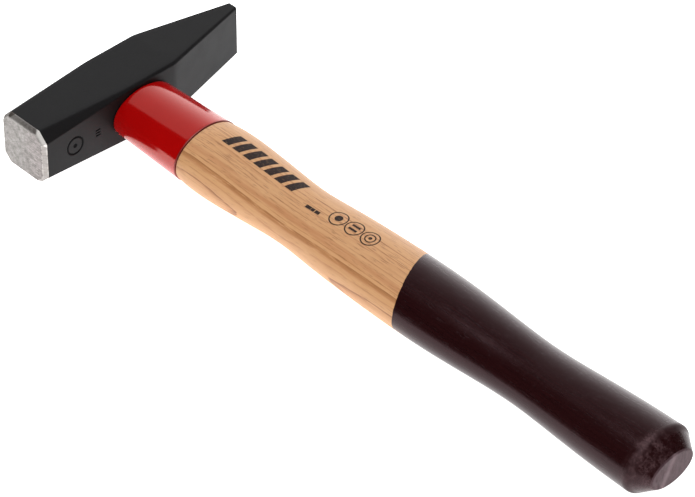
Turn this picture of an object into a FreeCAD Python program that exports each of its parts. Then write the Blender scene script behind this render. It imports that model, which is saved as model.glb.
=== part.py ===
import FreeCAD, Part
import math
import os
import Sketcher
from FreeCAD import Vector

# Cross peen hammer, 400 g size class, lying on its cheek.
# +X runs along the handle from the head to the butt, +Y runs along the head towards the peen,
# +Z points up through the cheek.  The origin lies on the resting cheek, straight below the eye.

doc = FreeCAD.newDocument("CrossPeenHammer")

# ---------------------------------------------------------------------------------------------
# Dimensions, in millimetres.  Positions called "_at" are measured from the centre of the eye.
# ---------------------------------------------------------------------------------------------

DIMENSIONS = [
    # head
    ("face_reach", 51.1, "eye centre to striking face"),
    ("peen_reach", 61.5, "eye centre to peen edge"),
    ("face_half_depth", 12.85, "half of the face side that runs along the handle"),
    ("body_half_depth", 12.95, "half depth of the head behind the face"),
    ("cheek_half", 12.85, "half of the distance between the cheeks"),
    ("face_bevel", 1.4, "bevel round the striking face, across the head"),
    ("face_bevel_run", 1.9, "bevel round the striking face, along the head"),
    ("inner_corner_cut", 3.4, "corner cut of the bare face, inside the bevel"),
    ("corner_cut", 4.4, "corner cut just behind the face"),
    ("corner_end_at", 7.0, "where the corner cuts have run out"),
    ("edge_break", 0.9, "edge break round the eye and the peen start"),
    ("peen_start_at", 18.2, "where the peen starts to taper"),
    ("peen_edge_half", 2.45, "half thickness of the peen edge"),
    ("peen_width_half", 12.0, "half width of the peen edge"),
    ("peen_break", 0.6, "corner break at the peen edge"),
    ("peen_round", 0.5, "rounding of the long corners of the peen edge"),
    # eye, an oval that narrows to a throat and flares towards the top of the head
    ("eye_cutter_reach", 13.6, "half length of the eye opening tool"),
    ("eye_throat_at", 3.0, "throat of the eye, on the handle side"),
    ("eye_throat_long", 11.4, "throat, half length"),
    ("eye_throat_wide", 6.8, "throat, half width"),
    ("eye_mouth_long", 12.2, "handle side mouth, half length"),
    ("eye_mouth_wide", 7.4, "handle side mouth, half width"),
    ("eye_top_long", 13.0, "top mouth, half length"),
    ("eye_top_wide", 8.2, "top mouth, half width"),
    ("eye_break", 0.5, "edge break of both mouths"),
    # stamped mark on the handle side
    ("mark_at", 35.0, "centre of the ring mark, towards the face"),
    ("mark_outer", 4.3, "ring mark, outer radius"),
    ("mark_inner", 3.5, "ring mark, inner radius"),
    ("mark_dot", 0.9, "dot inside the ring mark"),
    ("small_mark_at", 23.1, "centre of the small mark"),
    ("small_mark_half", 1.2, "half length of a small stroke"),
    ("small_mark_thick", 0.55, "thickness of a small stroke"),
    ("small_mark_step", 1.3, "distance between small strokes"),
    ("mark_depth", 0.3, "depth of the stamping"),
    ("mark_tool_gap", 0.5, "start of the stamping tool above the head"),
    # handle
    ("joint_gap", 0.05, "gap between parts that touch"),
    ("tenon_end_at", 12.3, "tenon end, short of the top of the head"),
    ("neck_start_long", 14.75, "neck under the sleeve, head end, half length"),
    ("neck_start_wide", 9.8, "neck under the sleeve, head end, half width"),
    ("neck_end_long", 15.85, "neck under the sleeve, far end, half length"),
    ("neck_end_wide", 11.35, "neck under the sleeve, far end, half width"),
    ("wood_edge_round", 0.35, "edge of the wood beside the sleeve"),
    ("butt_edge_at", 289.6, "start of the butt bevel"),
    ("butt_edge_long", 16.95, "butt bevel start, half length"),
    ("butt_edge_wide", 12.82, "butt bevel start, half width"),
    ("butt_end_at", 297.05, "flat end of the butt"),
    ("butt_end_long", 10.9, "flat end, half length"),
    ("butt_end_wide", 6.7, "flat end, half width"),
    ("butt_edge_round", 2.4, "rounding where the butt bevel starts"),
    ("butt_end_round", 0.8, "rounding of the flat end"),
    # sleeve
    ("sleeve_end_at", 50.9, "end of the sleeve"),
    ("sleeve_flange", 0.95, "thickness of the inward flange at the head"),
    ("sleeve_seat_long", 15.65, "sleeve at the head, half length"),
    ("sleeve_seat_wide", 10.7, "sleeve at the head, half width"),
    ("sleeve_shoulder", 1.4, "rounding of the shoulder under the head"),
    ("sleeve_mid_at", 33.25, "middle station of the sleeve"),
    ("sleeve_mid_long", 16.25, "middle station, half length"),
    ("sleeve_mid_wide", 11.5, "middle station, half width"),
    ("sleeve_end_long", 16.75, "end of the sleeve, half length"),
    ("sleeve_end_wide", 12.25, "end of the sleeve, half width"),
    ("sleeve_end_round", 0.6, "rounding of the sleeve's free edge"),
    # ring wedge, driven into the end of the tenon
    ("wedge_big_radius", 5.4, "ring wedge, radius at the driven end"),
    ("wedge_small_radius", 4.4, "ring wedge, radius at the leading edge"),
    ("wedge_bore", 3.2, "ring wedge, bore radius"),
    ("wedge_length", 15.0, "ring wedge, length"),
    ("wedge_lip", 0.5, "ring wedge, thickness of the leading edge"),
    ("wedge_lead", 3.0, "ring wedge, length of the sharpened lead"),
    ("wedge_play", 0.1, "clearance round the driven end of the ring wedge"),
    ("socket_overrun", 0.6, "run of the socket tool beyond the tenon end"),
    # securing plate over the eye
    ("plate_long", 14.9, "plate, half length"),
    ("plate_wide", 10.2, "plate, half width"),
    ("plate_thick", 1.6, "plate, thickness"),
    ("plate_break", 0.5, "plate, outer edge break"),
    ("plate_hole", 3.15, "plate, hole radius"),
    # securing screw
    ("flange_radius", 5.6, "screw flange, radius"),
    ("flange_thick", 0.9, "screw flange, thickness"),
    ("hex_flats", 8.0, "screw head, width across flats"),
    ("hex_tall", 2.4, "screw head, height of the hexagon"),
    ("hex_chamfer", 0.45, "screw head, corner bevel"),
    ("shank_radius", 2.9, "plain shank, radius"),
    ("shank_end_at", 4.0, "end of the plain shank"),
    ("core_radius", 2.05, "thread, core radius"),
    ("crest_radius", 2.85, "thread, crest radius"),
    ("thread_pitch", 2.5, "thread, pitch"),
    ("thread_turns", 8, "thread, number of ridges"),
    ("crest_flat", 0.2, "thread, width of the crest"),
    ("thread_start_at", 4.6, "start of the first ridge"),
    ("ridge_width", 1.1, "thread, width of the ridge at the core"),
    ("screw_tip_at", 29.5, "point of the screw"),
    ("tip_length", 4.0, "length of the point"),
    ("tip_blunt", 0.15, "radius of the blunt end of the point"),
    ("pilot_radius", 2.95, "hole in the wood for the screw, radius"),
    ("pilot_end_at", 30.5, "end of the hole in the wood"),
    ("pilot_blunt", 0.3, "radius of the blunt bottom of that hole"),
]

# Stations of the bare handle: name, distance from the eye centre, half length, half width.
HANDLE_STATIONS = [
    ("wood_start", 50.95, 16.4, 11.95),
    ("wood_rise", 56.3, 16.95, 12.45),
    ("wood_swell", 63.85, 17.2, 12.65),
    ("wood_fall", 76.4, 16.65, 12.25),
    ("throat", 90.4, 15.6, 11.45),
    ("front_waist", 105.45, 14.72, 10.85),
    ("palm_rise", 122.5, 15.6, 11.5),
    ("palm", 142.55, 16.6, 12.2),
    ("belly", 166.65, 17.12, 12.55),
    ("belly_fall", 188.7, 16.7, 12.25),
    ("grip_fall", 208.75, 15.45, 11.4),
    ("rear_waist", 228.85, 14.6, 10.75),
    ("butt_rise", 250.9, 15.5, 11.6),
    ("butt_swell", 274.95, 16.65, 12.6),
]

sheet = doc.addObject("Spreadsheet::Sheet", "Dimensions")
sheet.Label = "Dimensions"


def add_dimension(row, name, value, meaning):
    """Write one named size into the sheet."""
    sheet.set("A%d" % row, name)
    sheet.set("B%d" % row, str(value))
    sheet.set("C%d" % row, meaning)
    sheet.setAlias("B%d" % row, name)


row_number = 1
for size_name, size_value, size_meaning in DIMENSIONS:
    add_dimension(row_number, size_name, size_value, size_meaning)
    row_number += 1
for station, at, half_long, half_wide in HANDLE_STATIONS:
    add_dimension(row_number, station + "_at", at, "handle station, position")
    add_dimension(row_number + 1, station + "_long", half_long, "handle station, half length")
    add_dimension(row_number + 2, station + "_wide", half_wide, "handle station, half width")
    row_number += 3
doc.recompute()


def size(name):
    """Current value of a named size."""
    return float(sheet.get(name))


def ref(name):
    """Expression that points at a named size."""
    return "Dimensions." + name


# Sizes that follow from the ones above.
gap = size("joint_gap")
eye_run = size("eye_cutter_reach") + size("eye_throat_at")
tenon_share = (size("tenon_end_at") + size("eye_throat_at")) / eye_run
plate_top = size("body_half_depth") + gap + size("plate_thick")
flange_top = plate_top + gap + size("flange_thick")
DERIVED = [
    ("bare_half_depth", size("face_half_depth") - size("face_bevel")),
    ("bare_half_width", size("cheek_half") - size("face_bevel")),
    ("sleeve_seat_at", size("body_half_depth") + gap),
    ("neck_start_at", size("body_half_depth") + gap + size("sleeve_flange") + gap),
    ("tenon_top_long", size("eye_throat_long") - gap
     + tenon_share * (size("eye_top_long") - size("eye_throat_long"))),
    ("tenon_top_wide", size("eye_throat_wide") - gap
     + tenon_share * (size("eye_top_wide") - size("eye_throat_wide"))),
    ("cavity_start_long", size("neck_start_long") + gap),
    ("cavity_start_wide", size("neck_start_wide") + gap),
    ("cavity_end_long", size("neck_end_long") + gap),
    ("cavity_end_wide", size("neck_end_wide") + gap),
    ("socket_mouth_at", size("tenon_end_at") + size("socket_overrun")),
    ("socket_mouth_radius", size("wedge_big_radius") + size("wedge_play")),
    ("socket_floor_at", size("wedge_length") - size("tenon_end_at") + gap),
    ("socket_floor_radius", size("wedge_small_radius") + gap),
    ("plate_top_at", plate_top),
    ("flange_seat_at", plate_top + gap),
    ("flange_top_at", flange_top),
    ("hexagon_top_at", flange_top + size("hex_tall")),
]
for size_name, size_value in DERIVED:
    add_dimension(row_number, size_name, round(size_value, 5), "follows from the sizes above")
    row_number += 1
doc.recompute()


# ---------------------------------------------------------------------------------------------
# Sketch helpers
# ---------------------------------------------------------------------------------------------

H_AXIS = -1
V_AXIS = -2
ORIGIN = (-1, 1)
PLANE_TOLERANCE = 0.02
PICK_MARGIN = 0.5


def new_body(name):
    """A body lifted so that the cheek rests on the ground plane."""
    body = doc.addObject("PartDesign::Body", name)
    body.Label = name
    body.setExpression("Placement.Base.z", ref("cheek_half"))
    return body


def origin_plane(body, role):
    for feature in body.Origin.OriginFeatures:
        if feature.Role == role:
            return feature
    raise RuntimeError("no plane " + role)


def new_sketch(body, name, role, offset=None):
    """Sketch on an origin plane of the body, moved along the plane's normal by an expression."""
    sketch = body.newObject("Sketcher::SketchObject", name)
    sketch.AttachmentSupport = [(origin_plane(body, role), "")]
    sketch.MapMode = "FlatFace"
    if offset is not None:
        sketch.setExpression("AttachmentOffset.Base.z", offset)
    return sketch


def bind(sketch, kind, where, value, name, expression):
    """Add a driving constraint and tie it to the sheet."""
    index = sketch.addConstraint(Sketcher.Constraint(kind, *where, value))
    sketch.renameConstraint(index, name)
    sketch.setExpression("Constraints." + name, expression)


def closed_lines(sketch, points):
    """Closed chain of lines through the points; returns the index of the first one."""
    first = sketch.GeometryCount
    count = len(points)
    for i in range(count):
        begin = Vector(points[i][0], points[i][1], 0)
        end = Vector(points[(i + 1) % count][0], points[(i + 1) % count][1], 0)
        sketch.addGeometry(Part.LineSegment(begin, end), False)
    for i in range(count):
        following = first + (i + 1) % count
        sketch.addConstraint(Sketcher.Constraint("Coincident", first + i, 2, following, 1))
    return first


def octagon(body, name, offset, depth, width, cut):
    """Section across the head: a rectangle of half sizes depth (X) and width (Z) with equal
    corner cuts.  The arguments are expressions without the sheet's name."""
    across, up, corner = (evaluate(depth), evaluate(width), evaluate(cut))
    sketch = new_sketch(body, name, "XZ_Plane", offset)
    points = [
        (across, corner - up), (across, up - corner), (across - corner, up), (corner - across, up),
        (-across, up - corner), (-across, corner - up), (corner - across, -up), (across - corner, -up),
    ]
    closed_lines(sketch, points)
    for line, axis in ((0, H_AXIS), (2, V_AXIS), (4, H_AXIS), (6, V_AXIS)):
        sketch.addConstraint(Sketcher.Constraint("Symmetric", line, 1, line, 2, axis))
    sketch.addConstraint(Sketcher.Constraint("Symmetric", 0, 2, 4, 1, V_AXIS))
    sketch.addConstraint(Sketcher.Constraint("Symmetric", 2, 1, 6, 2, H_AXIS))
    depth_ref, width_ref, cut_ref = (ref(depth), ref(width), ref(cut))
    bind(sketch, "DistanceX", (*ORIGIN, 0, 2), across, "side", depth_ref)
    bind(sketch, "DistanceY", (*ORIGIN, 0, 2), up - corner, "side_edge", width_ref + " - " + cut_ref)
    bind(sketch, "DistanceX", (*ORIGIN, 2, 1), across - corner, "top_edge", depth_ref + " - " + cut_ref)
    bind(sketch, "DistanceY", (*ORIGIN, 2, 1), up, "top", width_ref)
    return sketch


def evaluate(expression):
    """Value of a plain sheet size, or of a difference of two of them."""
    total = 0.0
    sign = 1.0
    for token in expression.split():
        if token == "-":
            sign = -1.0
        else:
            total += sign * size(token.replace("Dimensions.", ""))
            sign = 1.0
    return total


def oval(body, name, offset, half_long, half_wide):
    """Ellipse across the handle; the long axis runs along the head.  The three arguments are
    expressions."""
    sketch = new_sketch(body, name, "YZ_Plane", offset)
    long_value = evaluate(half_long)
    wide_value = evaluate(half_wide)
    sketch.addGeometry(Part.Ellipse(Vector(0, 0, 0), long_value, wide_value), False)
    sketch.exposeInternalGeometry(0)
    sketch.addConstraint(Sketcher.Constraint("Coincident", 0, 3, *ORIGIN))
    sketch.addConstraint(Sketcher.Constraint("Horizontal", 1))
    bind(sketch, "Distance", (1,), 2 * long_value, "long_axis", "2 * (" + half_long + ")")
    bind(sketch, "Distance", (2,), 2 * wide_value, "short_axis", "2 * (" + half_wide + ")")
    return sketch


def loft(body, kind, name, sections, ruled):
    feature = body.newObject(kind, name)
    feature.Profile = sections[0]
    feature.Sections = sections[1:]
    feature.Ruled = ruled
    for section in sections:
        section.Visibility = False
    doc.recompute()
    return feature


def profile(body, name, points, expressions):
    """Closed outline in the XZ plane for a turned part.  expressions holds one (x, z) pair of
    expressions per point, and an empty text keeps the point on the axis."""
    sketch = new_sketch(body, name, "XZ_Plane")
    closed_lines(sketch, points)
    for i, (x_expression, z_expression) in enumerate(expressions):
        x_value, z_value = points[i]
        bind_signed(sketch, "DistanceX", i, x_value, "x%d" % i, x_expression)
        if z_expression:
            bind_signed(sketch, "DistanceY", i, z_value, "z%d" % i, z_expression)
        else:
            sketch.addConstraint(Sketcher.Constraint("PointOnObject", i, 1, H_AXIS))
    return sketch


def bind_signed(sketch, kind, geometry, value, name, expression):
    """Distance from the origin to the start of a line, measured so that it is positive."""
    if value >= 0:
        bind(sketch, kind, (*ORIGIN, geometry, 1), value, name, expression)
    else:
        bind(sketch, kind, (geometry, 1, *ORIGIN), -value, name, "-1 * (" + expression + ")")


def turned(body, kind, name, sketch):
    """Revolve or groove the outline about the handle's axis."""
    feature = body.newObject(kind, name)
    feature.Profile = sketch
    feature.ReferenceAxis = (sketch, ["H_Axis"])
    feature.Angle = 360
    sketch.Visibility = False
    doc.recompute()
    return feature


def edges_where(feature, test):
    """Names of the edges whose bounding box passes the test."""
    names = []
    for i, edge in enumerate(feature.Shape.Edges):
        if test(edge):
            names.append("Edge%d" % (i + 1))
    return names


def soften(body, kind, name, base, edges, amount):
    """Fillet or chamfer the named edges by a size from the sheet."""
    feature = body.newObject(kind, name)
    feature.Base = (base, edges)
    if kind.endswith("Fillet"):
        feature.setExpression("Radius", ref(amount))
    else:
        feature.setExpression("Size", ref(amount))
    doc.recompute()
    return feature


def flat_at(edge, axis, position):
    """True when the whole edge lies in a plane across the axis."""
    box = edge.BoundBox
    low = (box.XMin, box.YMin, box.ZMin)[axis]
    high = (box.XMax, box.YMax, box.ZMax)[axis]
    return abs(low - position) < PLANE_TOLERANCE and abs(high - position) < PLANE_TOLERANCE


# ---------------------------------------------------------------------------------------------
# Hammer head: forged steel, octagonal behind the face, wedge-shaped towards the peen
# ---------------------------------------------------------------------------------------------

head = new_body("hammer_head")

# Sections are listed from the peen edge to the striking face.
head_sections = [
    octagon(head, "PeenEdgeSection", "-1 * " + ref("peen_reach"),
            "peen_edge_half", "peen_width_half", "peen_break"),
    octagon(head, "PeenStartSection", "-1 * " + ref("peen_start_at"),
            "body_half_depth", "cheek_half", "edge_break"),
    octagon(head, "CornerEndSection", ref("corner_end_at"),
            "body_half_depth", "cheek_half", "edge_break"),
    octagon(head, "BevelSection", ref("face_reach") + " - " + ref("face_bevel_run"),
            "face_half_depth", "cheek_half", "corner_cut"),
    octagon(head, "FaceSection", ref("face_reach"),
            "bare_half_depth", "bare_half_width", "inner_corner_cut"),
]
forging = loft(head, "PartDesign::AdditiveLoft", "Forging", head_sections, True)


def long_peen_edge(edge):
    at_tip = flat_at(edge, 1, size("peen_reach"))
    return at_tip and edge.BoundBox.ZLength > size("peen_width_half")


soften(head, "PartDesign::Fillet", "PeenRounding", forging,
       edges_where(forging, long_peen_edge), "peen_round")

eye_sections = [
    oval(head, "EyeTop", "-1 * " + ref("eye_cutter_reach"), ref("eye_top_long"), ref("eye_top_wide")),
    oval(head, "EyeThroat", ref("eye_throat_at"), ref("eye_throat_long"), ref("eye_throat_wide")),
    oval(head, "EyeMouth", ref("eye_cutter_reach"), ref("eye_mouth_long"), ref("eye_mouth_wide")),
]
eye = loft(head, "PartDesign::SubtractiveLoft", "Eye", eye_sections, True)


def eye_rim(edge):
    on_side = flat_at(edge, 0, size("body_half_depth")) or flat_at(edge, 0, -size("body_half_depth"))
    short = edge.BoundBox.YMax < size("eye_top_long") + PICK_MARGIN
    narrow = edge.BoundBox.ZMax < size("eye_top_wide") + PICK_MARGIN
    return on_side and short and narrow and edge.Curve.TypeId != "Part::GeomLine"


soften(head, "PartDesign::Chamfer", "EyeBreak", eye, edges_where(eye, eye_rim), "eye_break")

# Stamped mark: a ring with a dot, and three short strokes nearer to the eye.
mark_plane = ref("body_half_depth") + " + " + ref("mark_tool_gap")
mark_sketch = new_sketch(head, "StampSketch", "YZ_Plane", mark_plane)
mark_centre = Vector(-size("mark_at"), 0, 0)
for index, radius_name in enumerate(("mark_outer", "mark_inner", "mark_dot")):
    mark_sketch.addGeometry(Part.Circle(mark_centre, Vector(0, 0, 1), size(radius_name)), False)
    bind(mark_sketch, "DistanceX", (index, 3, *ORIGIN), size("mark_at"),
         radius_name + "_x", ref("mark_at"))
    mark_sketch.addConstraint(Sketcher.Constraint("PointOnObject", index, 3, H_AXIS))
    bind(mark_sketch, "Radius", (index,), size(radius_name), radius_name + "_r", ref(radius_name))
for step in (-1, 0, 1):
    mid = -size("small_mark_at") + step * size("small_mark_step")
    half_thick = size("small_mark_thick") / 2
    half_tall = size("small_mark_half")
    corners = [
        (mid - half_thick, -half_tall), (mid + half_thick, -half_tall),
        (mid + half_thick, half_tall), (mid - half_thick, half_tall),
    ]
    start = closed_lines(mark_sketch, corners)
    tag = "stroke%d" % (step + 1)
    mark_sketch.addConstraint(Sketcher.Constraint("Symmetric", start, 1, start + 2, 2, H_AXIS))
    mark_sketch.addConstraint(Sketcher.Constraint("Symmetric", start, 2, start + 1, 2, H_AXIS))
    mark_sketch.addConstraint(Sketcher.Constraint("Horizontal", start))
    left_text = ref("small_mark_at") + " - (" + str(step) + ") * " + ref("small_mark_step")
    left_text += " + " + ref("small_mark_thick") + " / 2"
    bind(mark_sketch, "DistanceX", (start, 1, *ORIGIN), half_thick - mid, tag + "_x", left_text)
    bind(mark_sketch, "DistanceX", (start, 1, start, 2), 2 * half_thick,
         tag + "_w", ref("small_mark_thick"))
    bind(mark_sketch, "DistanceY", (start + 1, 1, start + 1, 2), 2 * half_tall, tag + "_h",
         "2 * " + ref("small_mark_half"))
stamp = head.newObject("PartDesign::Pocket", "Stamp")
stamp.Profile = mark_sketch
stamp.setExpression("Length", ref("mark_tool_gap") + " + " + ref("mark_depth"))
mark_sketch.Visibility = False
doc.recompute()
head.Tip = stamp

# ---------------------------------------------------------------------------------------------
# Handle: one piece of ash, oval, waisted twice, with a tenon that fills the eye
# ---------------------------------------------------------------------------------------------

handle = new_body("handle")

tenon_sections = [
    oval(handle, "TenonTop", "-1 * " + ref("tenon_end_at"), ref("tenon_top_long"), ref("tenon_top_wide")),
    oval(handle, "TenonThroat", ref("eye_throat_at"),
         ref("eye_throat_long") + " - " + ref("joint_gap"),
         ref("eye_throat_wide") + " - " + ref("joint_gap")),
    oval(handle, "TenonRoot", ref("neck_start_at"),
         ref("eye_mouth_long") + " - " + ref("joint_gap"),
         ref("eye_mouth_wide") + " - " + ref("joint_gap")),
]
loft(handle, "PartDesign::AdditiveLoft", "Tenon", tenon_sections, True)

neck_sections = [
    oval(handle, "NeckStart", ref("neck_start_at"), ref("neck_start_long"), ref("neck_start_wide")),
    oval(handle, "NeckEnd", ref("wood_start_at"), ref("neck_end_long"), ref("neck_end_wide")),
]
loft(handle, "PartDesign::AdditiveLoft", "Neck", neck_sections, True)

bare_sections = []
for station, at, half_long, half_wide in HANDLE_STATIONS:
    title = "".join(word.capitalize() for word in station.split("_"))
    bare_sections.append(oval(handle, title, ref(station + "_at"), ref(station + "_long"),
                              ref(station + "_wide")))
bare_sections.append(oval(handle, "ButtEdge", ref("butt_edge_at"), ref("butt_edge_long"),
                          ref("butt_edge_wide")))
loft(handle, "PartDesign::AdditiveLoft", "BareWood", bare_sections, False)

butt_sections = [
    oval(handle, "ButtBevelStart", ref("butt_edge_at"), ref("butt_edge_long"), ref("butt_edge_wide")),
    oval(handle, "ButtFlat", ref("butt_end_at"), ref("butt_end_long"), ref("butt_end_wide")),
]
butt = loft(handle, "PartDesign::AdditiveLoft", "ButtBevel", butt_sections, True)

butt = soften(handle, "PartDesign::Fillet", "ButtEndRounding", butt,
              edges_where(butt, lambda edge: flat_at(edge, 0, size("butt_end_at"))), "butt_end_round")
butt = soften(handle, "PartDesign::Fillet", "ButtEdgeRounding", butt,
              edges_where(butt, lambda edge: flat_at(edge, 0, size("butt_edge_at"))), "butt_edge_round")


def wood_step_edge(edge):
    outer = edge.BoundBox.YMax > (size("neck_end_long") + size("wood_start_long")) / 2
    return outer and flat_at(edge, 0, size("wood_start_at"))


soften(handle, "PartDesign::Fillet", "WoodStepRounding", butt,
       edges_where(butt, wood_step_edge), "wood_edge_round")

# Socket for the ring wedge and the hole for the screw, turned out of the tenon's end grain.
socket_points = [
    (-size("socket_mouth_at"), 0),
    (-size("socket_mouth_at"), size("socket_mouth_radius")),
    (size("socket_floor_at"), size("socket_floor_radius")),
    (size("socket_floor_at"), size("pilot_radius")),
    (size("pilot_end_at") - size("pilot_radius"), size("pilot_radius")),
    (size("pilot_end_at"), size("pilot_blunt")),
    (size("pilot_end_at"), 0),
]
socket_expressions = [
    ("-1 * " + ref("socket_mouth_at"), ""),
    ("-1 * " + ref("socket_mouth_at"), ref("socket_mouth_radius")),
    (ref("socket_floor_at"), ref("socket_floor_radius")),
    (ref("socket_floor_at"), ref("pilot_radius")),
    (ref("pilot_end_at") + " - " + ref("pilot_radius"), ref("pilot_radius")),
    (ref("pilot_end_at"), ref("pilot_blunt")),
    (ref("pilot_end_at"), ""),
]
socket_sketch = profile(handle, "SocketOutline", socket_points, socket_expressions)
socket = turned(handle, "PartDesign::Groove", "WedgeSocket", socket_sketch)
handle.Tip = socket

# ---------------------------------------------------------------------------------------------
# Sleeve: thin steel shell round the neck of the handle, with an inward flange under the head
# ---------------------------------------------------------------------------------------------

sleeve = new_body("handle_sleeve")

# Sections are listed from the free end to the seat under the head.
shell_sections = [
    oval(sleeve, "SleeveEnd", ref("sleeve_end_at"), ref("sleeve_end_long"), ref("sleeve_end_wide")),
    oval(sleeve, "SleeveMiddle", ref("sleeve_mid_at"), ref("sleeve_mid_long"), ref("sleeve_mid_wide")),
    oval(sleeve, "SleeveSeat", ref("sleeve_seat_at"), ref("sleeve_seat_long"), ref("sleeve_seat_wide")),
]
shell = loft(sleeve, "PartDesign::AdditiveLoft", "Shell", shell_sections, False)
seat_rim = edges_where(shell, lambda edge: flat_at(edge, 0, size("sleeve_seat_at")))
shell = soften(sleeve, "PartDesign::Fillet", "ShoulderRounding", shell, seat_rim, "sleeve_shoulder")
free_rim = edges_where(shell, lambda edge: flat_at(edge, 0, size("sleeve_end_at")))
soften(sleeve, "PartDesign::Fillet", "SleeveEndRounding", shell, free_rim, "sleeve_end_round")

cavity_sections = [
    oval(sleeve, "CavityStart", ref("neck_start_at") + " - " + ref("joint_gap"),
         ref("cavity_start_long"), ref("cavity_start_wide")),
    oval(sleeve, "CavityEnd", ref("wood_start_at"), ref("cavity_end_long"), ref("cavity_end_wide")),
]
loft(sleeve, "PartDesign::SubtractiveLoft", "Cavity", cavity_sections, True)

opening_sections = [
    oval(sleeve, "OpeningOuter", ref("body_half_depth"), ref("eye_mouth_long"), ref("eye_mouth_wide")),
    oval(sleeve, "OpeningInner", ref("neck_start_at"), ref("eye_mouth_long"), ref("eye_mouth_wide")),
]
opening = loft(sleeve, "PartDesign::SubtractiveLoft", "FlangeOpening", opening_sections, True)
sleeve.Tip = opening

# ---------------------------------------------------------------------------------------------
# Ring wedge: tapered steel tube with a sharpened lead, driven into the end of the tenon
# ---------------------------------------------------------------------------------------------

wedge = new_body("ring_wedge")

wedge_lead_at = size("wedge_length") - size("tenon_end_at")
wedge_points = [
    (-size("tenon_end_at"), size("wedge_bore")),
    (-size("tenon_end_at"), size("wedge_big_radius")),
    (wedge_lead_at, size("wedge_small_radius")),
    (wedge_lead_at, size("wedge_small_radius") - size("wedge_lip")),
    (wedge_lead_at - size("wedge_lead"), size("wedge_bore")),
]
lead_text = ref("wedge_length") + " - " + ref("tenon_end_at")
wedge_expressions = [
    ("-1 * " + ref("tenon_end_at"), ref("wedge_bore")),
    ("-1 * " + ref("tenon_end_at"), ref("wedge_big_radius")),
    (lead_text, ref("wedge_small_radius")),
    (lead_text, ref("wedge_small_radius") + " - " + ref("wedge_lip")),
    (lead_text + " - " + ref("wedge_lead"), ref("wedge_bore")),
]
wedge_sketch = profile(wedge, "WedgeOutline", wedge_points, wedge_expressions)
wedge_ring = turned(wedge, "PartDesign::Revolution", "WedgeRing", wedge_sketch)
wedge.Tip = wedge_ring

# ---------------------------------------------------------------------------------------------
# Securing plate: oval steel cover over the eye on top of the head
# ---------------------------------------------------------------------------------------------

plate = new_body("securing_plate")

plate_sketch = oval(plate, "PlateOutline", "-1 * " + ref("plate_top_at"),
                    ref("plate_long"), ref("plate_wide"))
hole_circle = Part.Circle(Vector(0, 0, 0), Vector(0, 0, 1), size("plate_hole"))
hole_index = plate_sketch.addGeometry(hole_circle, False)
plate_sketch.addConstraint(Sketcher.Constraint("Coincident", hole_index, 3, *ORIGIN))
bind(plate_sketch, "Radius", (hole_index,), size("plate_hole"), "hole_radius", ref("plate_hole"))
cover = plate.newObject("PartDesign::Pad", "Cover")
cover.Profile = plate_sketch
cover.setExpression("Length", ref("plate_thick"))
plate_sketch.Visibility = False
doc.recompute()


def plate_rim(edge):
    return flat_at(edge, 0, -size("plate_top_at")) and edge.BoundBox.YLength > size("plate_long")


plate.Tip = soften(plate, "PartDesign::Chamfer", "PlateBreak", cover,
                   edges_where(cover, plate_rim), "plate_break")

# ---------------------------------------------------------------------------------------------
# Securing screw: hexagon head with a flange, plain shank through plate and wedge, wood thread
# ---------------------------------------------------------------------------------------------

screw = new_body("securing_screw")

taper = size("shank_radius") - size("core_radius")
screw_points = [
    (-size("flange_top_at"), 0),
    (-size("flange_top_at"), size("flange_radius") - size("flange_thick") / 2),
    (-size("flange_seat_at"), size("flange_radius")),
    (-size("flange_seat_at"), size("shank_radius")),
    (size("shank_end_at"), size("shank_radius")),
    (size("shank_end_at") + taper, size("core_radius")),
    (size("screw_tip_at") - size("tip_length"), size("core_radius")),
    (size("screw_tip_at"), size("tip_blunt")),
    (size("screw_tip_at"), 0),
]
screw_expressions = [
    ("-1 * " + ref("flange_top_at"), ""),
    ("-1 * " + ref("flange_top_at"), ref("flange_radius") + " - " + ref("flange_thick") + " / 2"),
    ("-1 * " + ref("flange_seat_at"), ref("flange_radius")),
    ("-1 * " + ref("flange_seat_at"), ref("shank_radius")),
    (ref("shank_end_at"), ref("shank_radius")),
    (ref("shank_end_at") + " + " + ref("shank_radius") + " - " + ref("core_radius"), ref("core_radius")),
    (ref("screw_tip_at") + " - " + ref("tip_length"), ref("core_radius")),
    (ref("screw_tip_at"), ref("tip_blunt")),
    (ref("screw_tip_at"), ""),
]
screw_sketch = profile(screw, "ScrewOutline", screw_points, screw_expressions)
turned(screw, "PartDesign::Revolution", "ScrewCore", screw_sketch)

ridge_sketch = new_sketch(screw, "RidgeOutline", "XZ_Plane")
ridge_root = size("core_radius") - size("joint_gap")
ridge_points = [
    (size("thread_start_at"), ridge_root),
    (size("thread_start_at") + size("ridge_width"), ridge_root),
    (size("thread_start_at") + (size("ridge_width") + size("crest_flat")) / 2, size("crest_radius")),
    (size("thread_start_at") + (size("ridge_width") - size("crest_flat")) / 2, size("crest_radius")),
]
closed_lines(ridge_sketch, ridge_points)
root_text = ref("core_radius") + " - " + ref("joint_gap")
half_ridge = ref("ridge_width") + " / 2"
half_crest = ref("crest_flat") + " / 2"
ridge_x = [
    ref("thread_start_at"),
    ref("thread_start_at") + " + " + ref("ridge_width"),
    ref("thread_start_at") + " + " + half_ridge + " + " + half_crest,
    ref("thread_start_at") + " + " + half_ridge + " - " + half_crest,
]
ridge_z = [root_text, root_text, ref("crest_radius"), ref("crest_radius")]
for i in range(4):
    bind(ridge_sketch, "DistanceX", (*ORIGIN, i, 1), ridge_points[i][0], "x%d" % i, ridge_x[i])
    bind(ridge_sketch, "DistanceY", (*ORIGIN, i, 1), ridge_points[i][1], "z%d" % i, ridge_z[i])
thread = screw.newObject("PartDesign::AdditiveHelix", "WoodThread")
thread.Profile = ridge_sketch
thread.ReferenceAxis = (ridge_sketch, ["H_Axis"])
thread.Mode = "pitch-turns-angle"
thread.setExpression("Pitch", ref("thread_pitch"))
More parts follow.
